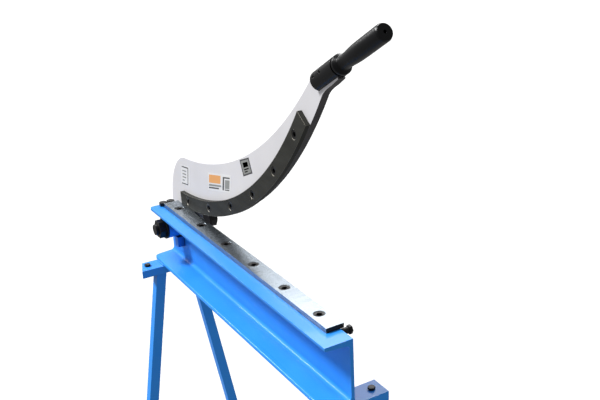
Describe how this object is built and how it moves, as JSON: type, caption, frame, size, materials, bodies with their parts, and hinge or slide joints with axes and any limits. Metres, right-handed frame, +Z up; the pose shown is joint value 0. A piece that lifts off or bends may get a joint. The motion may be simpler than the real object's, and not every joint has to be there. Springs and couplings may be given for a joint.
{
  "type": "hand plate shear",
  "caption": "Hand-operated guillotine plate shear on a stand, with a curved upper blade on a pivoting arm and a straight lower blade on a channel bed.",
  "frame": {"origin": "middle of the footprint, on the floor", "axes": "+X along the bed towards the handle end, +Y away from the operator, +Z up; at rest the arm is raised as in the picture"},
  "size_m": [0.9816, 0.4256, 1.4147],
  "materials": {
    "blue_paint": "semi-gloss blue paint",
    "grey_paint": "pale grey powder coat",
    "ground_steel": "ground bright steel",
    "dark_steel": "dark hardened tool steel",
    "black_steel": "black oxide steel",
    "bronze": "plain bearing bronze",
    "grip": "black moulded plastic"
  },
  "bodies": {
    "stand": {"bed_channel": "blue_paint", "boss_rib": "blue_paint", "far_cross_bar": "blue_paint", "far_left_bar_bolt": "black_steel", "far_left_bar_cap": "blue_paint", "far_left_bar_nut": "black_steel", "far_left_foot_plate": "blue_paint", "far_left_leg": "blue_paint", "far_right_bar_bolt": "black_steel", "far_right_bar_cap": "blue_paint", "far_right_bar_nut": "black_steel", "far_right_foot_plate": "blue_paint", "far_right_leg": "blue_paint", "far_spreader": "blue_paint", "flange_bolt_1": "black_steel", "flange_bolt_2": "black_steel", "lower_blade": "ground_steel", "lower_blade_screw_1": "black_steel", "lower_blade_screw_2": "black_steel", "lower_blade_screw_3": "black_steel", "lower_blade_screw_4": "black_steel", "lower_blade_screw_5": "black_steel", "lower_blade_screw_6": "black_steel", "near_cross_bar": "blue_paint", "near_left_bar_bolt": "black_steel", "near_left_bar_cap": "blue_paint", "near_left_bar_nut": "black_steel", "near_left_foot_plate": "blue_paint", "near_left_leg": "blue_paint", "near_right_bar_bolt": "black_steel", "near_right_bar_cap": "blue_paint", "near_right_bar_nut": "black_steel", "near_right_foot_plate": "blue_paint", "near_right_leg": "blue_paint", "near_spreader": "blue_paint", "pivot_bolt": "black_steel", "pivot_boss_inner": "blue_paint", "pivot_boss_outer": "blue_paint", "pivot_nut": "black_steel", "pivot_washer": "black_steel", "stop_bolt": "black_steel", "stop_sleeve": "black_steel", "thrust_ring_inner": "bronze", "thrust_ring_outer": "black_steel"},
    "arm": {"arm_hub": "black_steel", "arm_plate": "grey_paint", "handle_grip": "grip", "handle_rod": "ground_steel", "handle_set_screw_1": "black_steel", "handle_set_screw_2": "black_steel", "handle_socket": "black_steel", "pivot_bush": "bronze", "upper_blade": "dark_steel", "upper_blade_screw_1": "black_steel", "upper_blade_screw_2": "black_steel", "upper_blade_screw_3": "black_steel", "upper_blade_screw_4": "black_steel", "upper_blade_screw_5": "black_steel", "upper_blade_screw_6": "black_steel"}
  },
  "joints": [
    {"name": "arm_pivot", "type": "hinge", "parent": "stand", "child": "arm", "pos_m": [-0.38378, 0.0461, 0.812], "axis": [0, 1, 0], "range_deg": [-25, 28.6]}
  ]
}
